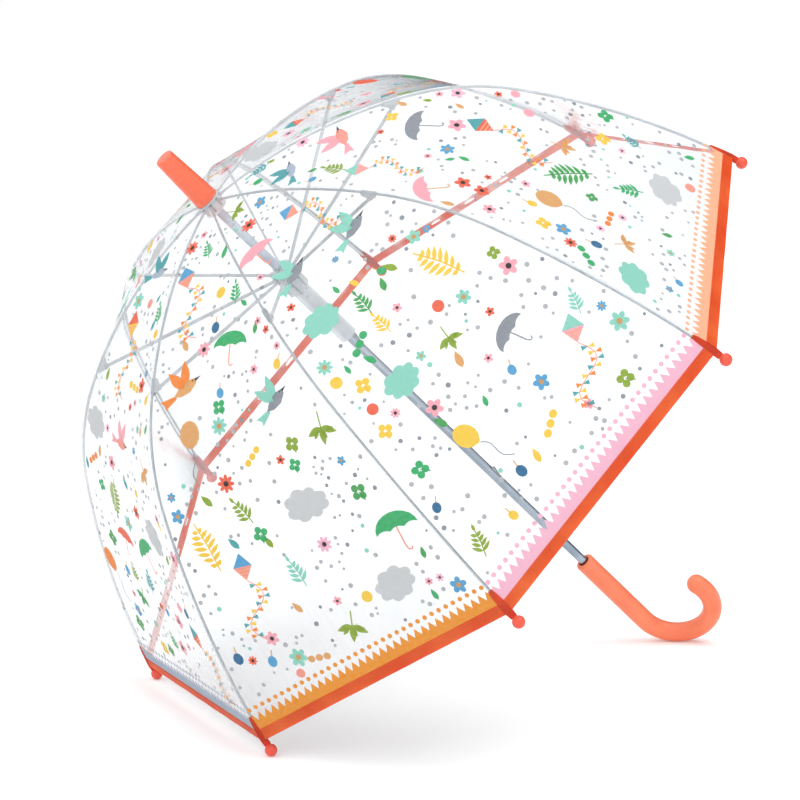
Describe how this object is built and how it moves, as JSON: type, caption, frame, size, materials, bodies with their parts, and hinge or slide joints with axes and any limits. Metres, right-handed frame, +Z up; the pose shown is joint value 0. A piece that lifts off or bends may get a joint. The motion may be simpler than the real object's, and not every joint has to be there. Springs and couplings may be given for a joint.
{
  "type": "children's umbrella",
  "caption": "Clear dome umbrella for a child: curved steel ribs, sliding runner, printed film gores with a coloured hem, ball tips, tapered ferrule and a J-shaped hook handle; shown open.",
  "frame": {"origin": "bottom centre of the box of the open umbrella as it lies on two rib tips and the hook; the floor is Z = 0", "axes": "+Z up from the floor; +X level, under the shaft, from the crown towards the handle; +Y level, across the shaft, along the canopy's widest line"},
  "size_m": [0.561, 0.6516, 0.5325],
  "materials": {
    "steel_tube": "bright nickel-plated tube",
    "coral_plastic": "semi-gloss moulded plastic, coral orange",
    "clear_plastic": "clear moulded plastic",
    "white_plastic": "natural nylon",
    "milky_plastic": "milky translucent plastic",
    "steel_wire": "drawn wire",
    "spring_steel": "spring strip",
    "rib_steel": "dull galvanised steel",
    "clear_film": "clear printed film",
    "hem_film": "folded orange film band"
  },
  "bodies": {
    "shaft": {"shaft_tube": "steel_tube", "ferrule": "coral_plastic", "canopy_washer": "clear_plastic", "crown": "white_plastic", "crown_wire": "steel_wire", "stop_pin": "steel_wire", "handle": "coral_plastic"},
    "runner": {"runner": "milky_plastic"},
    "top_latch": {"top_spring": "spring_steel"},
    "bottom_latch": {"bottom_spring": "spring_steel"},
    "rib_1": {"rib_1": "rib_steel", "rib_bracket_1": "rib_steel", "tip_1": "coral_plastic"},
    "stretcher_1": {"stretcher_1": "rib_steel"},
    "rib_2": {"rib_2": "rib_steel", "rib_bracket_2": "rib_steel", "tip_2": "coral_plastic"},
    "stretcher_2": {"stretcher_2": "rib_steel"},
    "rib_3": {"rib_3": "rib_steel", "rib_bracket_3": "rib_steel", "tip_3": "coral_plastic"},
    "stretcher_3": {"stretcher_3": "rib_steel"},
    "rib_4": {"rib_4": "rib_steel", "rib_bracket_4": "rib_steel", "tip_4": "coral_plastic"},
    "stretcher_4": {"stretcher_4": "rib_steel"},
    "rib_5": {"rib_5": "rib_steel", "rib_bracket_5": "rib_steel", "tip_5": "coral_plastic"},
    "stretcher_5": {"stretcher_5": "rib_steel"},
    "rib_6": {"rib_6": "rib_steel", "rib_bracket_6": "rib_steel", "tip_6": "coral_plastic"},
    "stretcher_6": {"stretcher_6": "rib_steel"},
    "rib_7": {"rib_7": "rib_steel", "rib_bracket_7": "rib_steel", "tip_7": "coral_plastic"},
    "stretcher_7": {"stretcher_7": "rib_steel"},
    "rib_8": {"rib_8": "rib_steel", "rib_bracket_8": "rib_steel", "tip_8": "coral_plastic"},
    "stretcher_8": {"stretcher_8": "rib_steel"},
    "panel_1": {"panel_1": "clear_film"},
    "hem_1": {"hem_1": "hem_film"},
    "panel_2": {"panel_2": "clear_film"},
    "hem_2": {"hem_2": "hem_film"},
    "panel_3": {"panel_3": "clear_film"},
    "hem_3": {"hem_3": "hem_film"},
    "panel_4": {"panel_4": "clear_film"},
    "hem_4": {"hem_4": "hem_film"},
    "panel_5": {"panel_5": "clear_film"},
    "hem_5": {"hem_5": "hem_film"},
    "panel_6": {"panel_6": "clear_film"},
    "hem_6": {"hem_6": "hem_film"},
    "panel_7": {"panel_7": "clear_film"},
    "hem_7": {"hem_7": "hem_film"},
    "panel_8": {"panel_8": "clear_film"},
    "hem_8": {"hem_8": "hem_film"}
  },
  "joints": [
    {"name": "runner_slide", "type": "slide", "parent": "shaft", "child": "runner", "axis": [0.6975, 0, -0.7166], "range_m": [0, 0.1996]},
    {"name": "rib_hinge_1", "type": "hinge", "parent": "shaft", "child": "rib_1", "pos_m": [-0.1796, 0.00306, 0.44755], "axis": [-0.2742, 0.9239, -0.2669], "range_deg": [0, 46.42]},
    {"name": "stretcher_hinge_1", "type": "hinge", "parent": "rib_1", "child": "stretcher_1", "pos_m": [-0.04316, 0.06336, 0.51607], "axis": [-0.2742, 0.9239, -0.2669], "range_deg": [-92.84, 0]},
    {"name": "rib_hinge_2", "type": "hinge", "parent": "shaft", "child": "rib_2", "pos_m": [-0.18271, 0.00739, 0.44454], "axis": [-0.6621, 0.3827, -0.6444], "range_deg": [0, 46.42]},
    {"name": "stretcher_hinge_2", "type": "hinge", "parent": "rib_2", "child": "stretcher_2", "pos_m": [-0.10737, 0.15296, 0.45358], "axis": [-0.6621, 0.3827, -0.6444], "range_deg": [-92.84, 0]},
    {"name": "rib_hinge_3", "type": "hinge", "parent": "shaft", "child": "rib_3", "pos_m": [-0.1871, 0.00739, 0.44027], "axis": [-0.6621, -0.3827, -0.6444], "range_deg": [0, 46.42]},
    {"name": "stretcher_hinge_3", "type": "hinge", "parent": "rib_3", "child": "stretcher_3", "pos_m": [-0.19818, 0.15296, 0.3652], "axis": [-0.6621, -0.3827, -0.6444], "range_deg": [-92.84, 0]},
    {"name": "rib_hinge_4", "type": "hinge", "parent": "shaft", "child": "rib_4", "pos_m": [-0.1902, 0.00306, 0.43724], "axis": [-0.2742, -0.9239, -0.2669], "range_deg": [0, 46.42]},
    {"name": "stretcher_hinge_4", "type": "hinge", "parent": "rib_4", "child": "stretcher_4", "pos_m": [-0.26239, 0.06336, 0.30271], "axis": [-0.2742, -0.9239, -0.2669], "range_deg": [-92.84, 0]},
    {"name": "rib_hinge_5", "type": "hinge", "parent": "shaft", "child": "rib_5", "pos_m": [-0.1902, -0.00306, 0.43724], "axis": [0.2742, -0.9239, 0.2669], "range_deg": [0, 46.42]},
    {"name": "stretcher_hinge_5", "type": "hinge", "parent": "rib_5", "child": "stretcher_5", "pos_m": [-0.26239, -0.06336, 0.30271], "axis": [0.2742, -0.9239, 0.2669], "range_deg": [-92.84, 0]},
    {"name": "rib_hinge_6", "type": "hinge", "parent": "shaft", "child": "rib_6", "pos_m": [-0.1871, -0.00739, 0.44027], "axis": [0.6621, -0.3827, 0.6444], "range_deg": [0, 46.42]},
    {"name": "stretcher_hinge_6", "type": "hinge", "parent": "rib_6", "child": "stretcher_6", "pos_m": [-0.19818, -0.15296, 0.3652], "axis": [0.6621, -0.3827, 0.6444], "range_deg": [-92.84, 0]},
    {"name": "rib_hinge_7", "type": "hinge", "parent": "shaft", "child": "rib_7", "pos_m": [-0.18271, -0.00739, 0.44454], "axis": [0.6621, 0.3827, 0.6444], "range_deg": [0, 46.42]},
    {"name": "stretcher_hinge_7", "type": "hinge", "parent": "rib_7", "child": "stretcher_7", "pos_m": [-0.10737, -0.15296, 0.45358], "axis": [0.6621, 0.3827, 0.6444], "range_deg": [-92.84, 0]},
    {"name": "rib_hinge_8", "type": "hinge", "parent": "shaft", "child": "rib_8", "pos_m": [-0.1796, -0.00306, 0.44755], "axis": [0.2742, 0.9239, 0.2669], "range_deg": [0, 46.42]},
    {"name": "stretcher_hinge_8", "type": "hinge", "parent": "rib_8", "child": "stretcher_8", "pos_m": [-0.04316, -0.06336, 0.51607], "axis": [0.2742, 0.9239, 0.2669], "range_deg": [-92.84, 0]},
    {"name": "panel_1_fold", "type": "hinge", "parent": "rib_1", "child": "panel_1", "pos_m": [-0.18004, 0.00453, 0.44713], "axis": [0.0248, -0.9537, -0.2998], "range_deg": [0, 20.63], "deforming": ["panel_1"]},
    {"name": "hem_1_fold", "type": "hinge", "parent": "rib_2", "child": "hem_1", "pos_m": [-0.18166, 0.00678, 0.44556], "axis": [0.5215, 0.1913, 0.8315], "range_deg": [0, 20.63], "deforming": ["hem_1"]},
    {"name": "panel_2_fold", "type": "hinge", "parent": "rib_2", "child": "panel_2", "pos_m": [-0.18376, 0.008, 0.44351], "axis": [0.5482, -0.8096, 0.2096], "range_deg": [0, 20.63], "deforming": ["panel_2"]},
    {"name": "hem_2_fold", "type": "hinge", "parent": "rib_3", "child": "hem_2", "pos_m": [-0.18604, 0.008, 0.44129], "axis": [0.2244, 0.8096, 0.5424], "range_deg": [0, 20.63], "deforming": ["hem_2"]},
    {"name": "panel_3_fold", "type": "hinge", "parent": "rib_3", "child": "panel_3", "pos_m": [-0.18815, 0.00678, 0.43924], "axis": [0.8453, -0.1913, 0.4988], "range_deg": [0, 20.63], "deforming": ["panel_3"]},
    {"name": "hem_3_fold", "type": "hinge", "parent": "rib_4", "child": "hem_3", "pos_m": [-0.18976, 0.00453, 0.43767], "axis": [-0.299, 0.9537, 0.0329], "range_deg": [0, 20.63], "deforming": ["hem_3"]},
    {"name": "panel_4_fold", "type": "hinge", "parent": "rib_4", "child": "panel_4", "pos_m": [-0.19063, 0.00159, 0.43682], "axis": [0.7421, 0.5391, 0.3983], "range_deg": [0, 20.63], "deforming": ["panel_4"]},
    {"name": "hem_4_fold", "type": "hinge", "parent": "rib_5", "child": "hem_4", "pos_m": [-0.19063, -0.00159, 0.43682], "axis": [-0.7421, 0.5391, -0.3983], "range_deg": [0, 20.63], "deforming": ["hem_4"]},
    {"name": "panel_5_fold", "type": "hinge", "parent": "rib_5", "child": "panel_5", "pos_m": [-0.18976, -0.00453, 0.43767], "axis": [0.299, 0.9537, -0.0329], "range_deg": [0, 20.63], "deforming": ["panel_5"]},
    {"name": "hem_5_fold", "type": "hinge", "parent": "rib_6", "child": "hem_5", "pos_m": [-0.18815, -0.00678, 0.43924], "axis": [-0.8453, -0.1913, -0.4988], "range_deg": [0, 20.63], "deforming": ["hem_5"]},
    {"name": "panel_6_fold", "type": "hinge", "parent": "rib_6", "child": "panel_6", "pos_m": [-0.18604, -0.008, 0.44129], "axis": [-0.2244, 0.8096, -0.5424], "range_deg": [0, 20.63], "deforming": ["panel_6"]},
    {"name": "hem_6_fold", "type": "hinge", "parent": "rib_7", "child": "hem_6", "pos_m": [-0.18376, -0.008, 0.44351], "axis": [-0.5482, -0.8096, -0.2096], "range_deg": [0, 20.63], "deforming": ["hem_6"]},
    {"name": "panel_7_fold", "type": "hinge", "parent": "rib_7", "child": "panel_7", "pos_m": [-0.18166, -0.00678, 0.44556], "axis": [-0.5215, 0.1913, -0.8315], "range_deg": [0, 20.63], "deforming": ["panel_7"]},
    {"name": "hem_7_fold", "type": "hinge", "parent": "rib_8", "child": "hem_7", "pos_m": [-0.18004, -0.00453, 0.44713], "axis": [-0.0248, -0.9537, 0.2998], "range_deg": [0, 20.63], "deforming": ["hem_7"]},
    {"name": "panel_8_fold", "type": "hinge", "parent": "rib_8", "child": "panel_8", "pos_m": [-0.17917, -0.00159, 0.44798], "axis": [-0.4183, -0.5391, -0.7311], "range_deg": [0, 20.63], "deforming": ["panel_8"]},
    {"name": "hem_8_fold", "type": "hinge", "parent": "rib_1", "child": "hem_8", "pos_m": [-0.17917, 0.00159, 0.44798], "axis": [0.4183, -0.5391, 0.7311], "range_deg": [0, 20.63], "deforming": ["hem_8"]},
    {"name": "top_latch_press", "type": "slide", "parent": "shaft", "child": "top_latch", "axis": [-0.5067, 0.7071, -0.4932], "range_m": [0, 0.0023], "stiffness_N_per_m": 400, "springref_m": -0.001},
    {"name": "bottom_latch_press", "type": "slide", "parent": "shaft", "child": "bottom_latch", "axis": [-0.5067, 0.7071, -0.4932], "range_m": [0, 0.0023], "stiffness_N_per_m": 400, "springref_m": -0.001}
  ],
  "couplings": [
    {"joint": "rib_hinge_1", "follows": "runner_slide", "rad_per_m": 4.057},
    {"joint": "stretcher_hinge_1", "follows": "runner_slide", "rad_per_m": -8.1141},
    {"joint": "rib_hinge_2", "follows": "runner_slide", "rad_per_m": 4.057},
    {"joint": "stretcher_hinge_2", "follows": "runner_slide", "rad_per_m": -8.1141},
    {"joint": "rib_hinge_3", "follows": "runner_slide", "rad_per_m": 4.057},
    {"joint": "stretcher_hinge_3", "follows": "runner_slide", "rad_per_m": -8.1141},
    {"joint": "rib_hinge_4", "follows": "runner_slide", "rad_per_m": 4.057},
    {"joint": "stretcher_hinge_4", "follows": "runner_slide", "rad_per_m": -8.1141},
    {"joint": "rib_hinge_5", "follows": "runner_slide", "rad_per_m": 4.057},
    {"joint": "stretcher_hinge_5", "follows": "runner_slide", "rad_per_m": -8.1141},
    {"joint": "rib_hinge_6", "follows": "runner_slide", "rad_per_m": 4.057},
    {"joint": "stretcher_hinge_6", "follows": "runner_slide", "rad_per_m": -8.1141},
    {"joint": "rib_hinge_7", "follows": "runner_slide", "rad_per_m": 4.057},
    {"joint": "stretcher_hinge_7", "follows": "runner_slide", "rad_per_m": -8.1141},
    {"joint": "rib_hinge_8", "follows": "runner_slide", "rad_per_m": 4.057},
    {"joint": "stretcher_hinge_8", "follows": "runner_slide", "rad_per_m": -8.1141},
    {"joint": "panel_1_fold", "follows": "runner_slide", "rad_per_m": 1.8031},
    {"joint": "hem_1_fold", "follows": "runner_slide", "rad_per_m": 1.8031},
    {"joint": "panel_2_fold", "follows": "runner_slide", "rad_per_m": 1.8031},
    {"joint": "hem_2_fold", "follows": "runner_slide", "rad_per_m": 1.8031},
    {"joint": "panel_3_fold", "follows": "runner_slide", "rad_per_m": 1.8031},
    {"joint": "hem_3_fold", "follows": "runner_slide", "rad_per_m": 1.8031},
    {"joint": "panel_4_fold", "follows": "runner_slide", "rad_per_m": 1.8031},
    {"joint": "hem_4_fold", "follows": "runner_slide", "rad_per_m": 1.8031},
    {"joint": "panel_5_fold", "follows": "runner_slide", "rad_per_m": 1.8031},
    {"joint": "hem_5_fold", "follows": "runner_slide", "rad_per_m": 1.8031},
    {"joint": "panel_6_fold", "follows": "runner_slide", "rad_per_m": 1.8031},
    {"joint": "hem_6_fold", "follows": "runner_slide", "rad_per_m": 1.8031},
    {"joint": "panel_7_fold", "follows": "runner_slide", "rad_per_m": 1.8031},
    {"joint": "hem_7_fold", "follows": "runner_slide", "rad_per_m": 1.8031},
    {"joint": "panel_8_fold", "follows": "runner_slide", "rad_per_m": 1.8031},
    {"joint": "hem_8_fold", "follows": "runner_slide", "rad_per_m": 1.8031}
  ]
}
